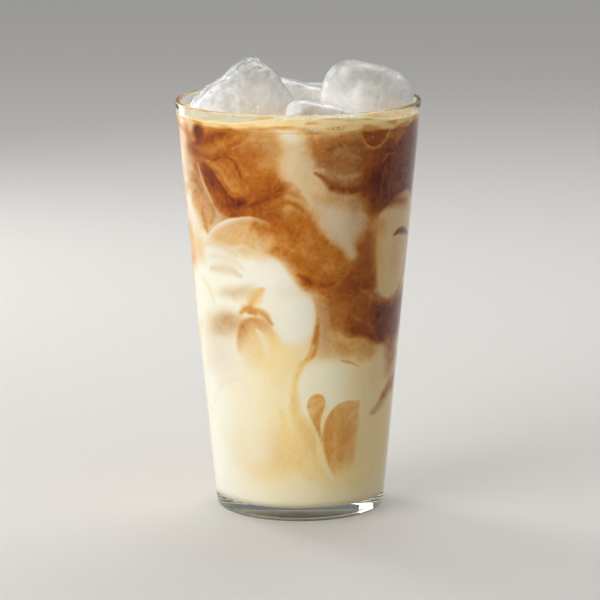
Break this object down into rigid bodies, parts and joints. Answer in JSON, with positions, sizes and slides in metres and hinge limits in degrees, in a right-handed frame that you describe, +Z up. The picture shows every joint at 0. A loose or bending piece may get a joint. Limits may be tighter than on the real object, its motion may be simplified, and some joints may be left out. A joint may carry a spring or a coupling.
{
  "type": "iced latte",
  "caption": "Iced milk coffee in a clear conical tumbler, marbled brown over cream, with half-melted ice standing above the rim.",
  "frame": {"origin": "centre of the foot, on the surface the glass stands on", "axes": "+Z up along the glass's axis; the shown side faces -Y, with +X to its right"},
  "size_m": [0.0888, 0.0888, 0.1645],
  "materials": {
    "clear_glass": "clear, fire polished",
    "milk_coffee": "wet, coffee marbled into milk",
    "ice": "wet, frosted inside"
  },
  "bodies": {
    "root": {"glass": "clear_glass", "latte": "milk_coffee", "ice_left": "ice", "ice_right": "ice", "ice_back": "ice", "ice_front": "ice"}
  },
  "joints": []
}
